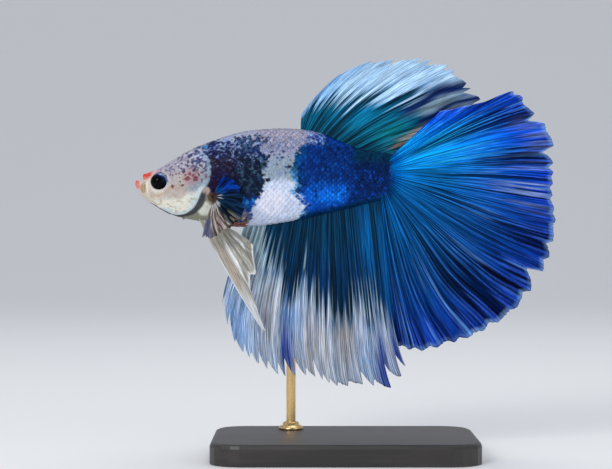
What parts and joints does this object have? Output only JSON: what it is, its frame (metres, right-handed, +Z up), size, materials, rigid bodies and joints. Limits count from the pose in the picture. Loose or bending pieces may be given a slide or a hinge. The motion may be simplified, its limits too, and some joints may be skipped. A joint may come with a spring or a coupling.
{
  "type": "betta fish model",
  "caption": "Life-size halfmoon betta in blue, white and cream, gliding with spread dorsal, tail, anal, pelvic and pectoral fins, held by a bent brass rod on a plain black base",
  "frame": {"origin": "centre of the stand's underside, which is also the middle of the model's plan", "axes": "the fish faces -X, its left flank faces -Y, and +Z is up"},
  "size_m": [0.07, 0.028, 0.0663],
  "materials": {
    "pale_skin": "satin, as wet skin",
    "marbled_scales": "satin scales, marbled dark, lilac, white and blue",
    "royal_scales": "satin scales with a metallic blue sheen",
    "blue_fin": "thin satin membrane on fine rays",
    "pale_fin": "thin satin membrane on fine rays",
    "cream_fin": "thin satin membrane on fine rays",
    "eye": "wet gloss",
    "black_wood": "black satin lacquer",
    "brass": "polished"
  },
  "bodies": {
    "root": {"head": "pale_skin", "jaw_lower": "pale_skin", "gill_cover_left": "pale_skin", "gill_cover_right": "pale_skin", "trunk": "marbled_scales", "tail_stalk": "royal_scales", "eye_left": "eye", "eye_right": "eye", "fin_dorsal": "pale_fin", "fin_anal": "pale_fin", "fin_caudal": "blue_fin", "fin_pelvic_left": "cream_fin", "fin_pelvic_right": "cream_fin", "fin_pectoral_left": "blue_fin", "fin_pectoral_right": "blue_fin", "stand_base": "black_wood", "stand_rod": "brass"}
  },
  "joints": []
}
